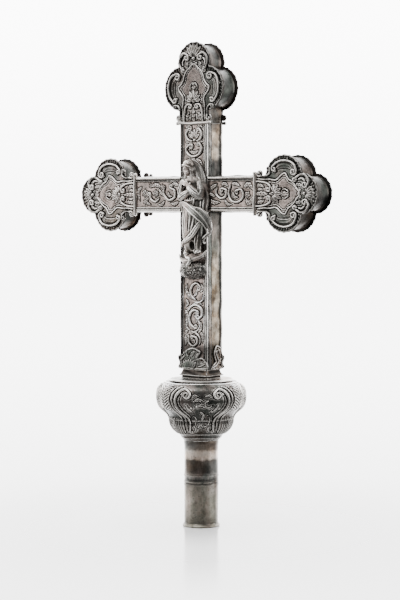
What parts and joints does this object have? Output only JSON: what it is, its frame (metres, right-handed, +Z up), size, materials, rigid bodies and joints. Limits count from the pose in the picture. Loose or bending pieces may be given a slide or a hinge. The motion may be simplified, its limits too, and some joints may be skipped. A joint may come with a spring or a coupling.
{
  "type": "altar cross",
  "caption": "Processional altar cross in chased silver over wood, with trefoil ends, a figure on the crossing, a bulbous knop and a tubular pole socket.",
  "frame": {"origin": "on the pole socket's axis, in the plane of the socket rim's lower face", "axes": "+Z up along the socket and the shaft, +X along the right arm as seen from the front, -Y out of the front where the figure is"},
  "size_m": [0.3782, 0.1092, 0.6047],
  "materials": {
    "silver": "chased sheet silver, rubbed bright on the ridges and tarnished grey-brown in the hollows",
    "silver_dark": "sheet silver under a heavier brown-grey tarnish",
    "wood": "bare old softwood",
    "iron": "dark forged iron"
  },
  "bodies": {
    "root": {"centre_panel_back": "silver_dark", "centre_panel_front": "silver", "core_crossbar": "wood", "core_upright": "wood", "crescent_moon": "silver", "figure": "silver", "foot_cover_back": "silver_dark", "foot_cover_front": "silver", "foot_cover_left": "silver", "foot_cover_right": "silver", "foot_nail_back_1": "silver_dark", "foot_nail_back_2": "silver_dark", "foot_nail_front_1": "silver", "foot_nail_front_2": "silver", "foot_nail_left_1": "silver", "foot_nail_left_2": "silver", "foot_nail_right_1": "silver", "foot_nail_right_2": "silver", "globe": "silver", "knop_lid": "silver", "knop_lower_shell": "silver_dark", "knop_upper_shell": "silver", "left_moulding_back": "silver_dark", "left_moulding_front": "silver", "left_panel_back": "silver_dark", "left_panel_front": "silver", "left_terminal_back": "silver_dark", "left_terminal_band": "silver_dark", "left_terminal_front": "silver", "left_wall_a": "silver_dark", "left_wall_b": "silver_dark", "lower_panel_back": "silver_dark", "lower_panel_front": "silver", "lower_wall_left": "silver_dark", "lower_wall_right": "silver_dark", "right_moulding_back": "silver_dark", "right_moulding_front": "silver", "right_panel_back": "silver_dark", "right_panel_front": "silver", "right_terminal_back": "silver_dark", "right_terminal_band": "silver_dark", "right_terminal_front": "silver", "right_wall_a": "silver_dark", "right_wall_b": "silver_dark", "rod_nut": "iron", "rod_washer": "iron", "socket_lower_sleeve": "silver", "socket_rim": "silver", "socket_upper_sleeve": "silver", "stepped_collar": "silver_dark", "tie_rod": "iron", "upper_moulding_back": "silver_dark", "upper_moulding_front": "silver", "upper_panel_back": "silver_dark", "upper_panel_front": "silver", "upper_terminal_back": "silver_dark", "upper_terminal_band": "silver_dark", "upper_terminal_front": "silver", "upper_wall_a": "silver_dark", "upper_wall_b": "silver_dark"}
  },
  "joints": []
}
